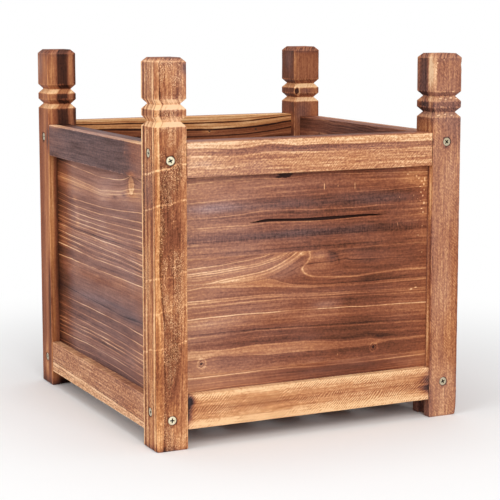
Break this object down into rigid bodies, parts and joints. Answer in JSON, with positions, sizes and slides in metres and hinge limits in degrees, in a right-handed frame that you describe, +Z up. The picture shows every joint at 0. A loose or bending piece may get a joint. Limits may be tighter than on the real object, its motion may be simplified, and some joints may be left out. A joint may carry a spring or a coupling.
{
  "type": "square wooden planter",
  "caption": "Square outdoor planter with panelled wooden walls between four tall posts with V cuts, framed by rails, with a slatted draining floor.",
  "frame": {"origin": "on the ground under the middle of the planter, in the plane of the four feet", "axes": "+Z up, the front wall faces -Y, +X to the right as seen from the front"},
  "size_m": [0.36, 0.36, 0.4],
  "materials": {
    "post_wood": "torched and varnished softwood, planed, with pale worn corners",
    "rail_wood": "lightly torched and varnished softwood with fine saw marks",
    "rail_wood_burnt": "heavily torched, varnished softwood, grey brown",
    "board_wood": "torched and varnished softwood with pale grain lines and knots",
    "floor_wood": "lightly torched softwood, planed",
    "screw_metal": "yellow zinc plated steel, satin",
    "nail_metal": "bright drawn steel"
  },
  "bodies": {
    "root": {"post_front_left": "post_wood", "post_front_right": "post_wood", "post_back_right": "post_wood", "post_back_left": "post_wood", "rail_top_front": "rail_wood", "rail_top_right": "rail_wood", "rail_top_back": "rail_wood", "rail_top_left": "rail_wood_burnt", "rail_low_front": "rail_wood", "rail_low_right": "rail_wood", "rail_low_back": "rail_wood", "rail_low_left": "rail_wood", "board_upper_front": "board_wood", "board_middle_front": "board_wood", "board_lower_front": "board_wood", "board_upper_right": "board_wood", "board_middle_right": "board_wood", "board_lower_right": "board_wood", "board_upper_back": "board_wood", "board_middle_back": "board_wood", "board_lower_back": "board_wood", "board_upper_left": "board_wood", "board_middle_left": "board_wood", "board_lower_left": "board_wood", "bearer_front": "floor_wood", "bearer_back": "floor_wood", "slat_1": "floor_wood", "slat_2": "floor_wood", "slat_3": "floor_wood", "slat_4": "floor_wood", "slat_5": "floor_wood", "screws_front_left": "screw_metal", "screws_front_right": "screw_metal", "screws_back_right": "screw_metal", "screws_back_left": "screw_metal", "brads_front": "nail_metal", "brads_right": "nail_metal", "brads_back": "nail_metal", "brads_left": "nail_metal", "bearer_screws": "screw_metal", "slat_nails": "nail_metal"}
  },
  "joints": []
}
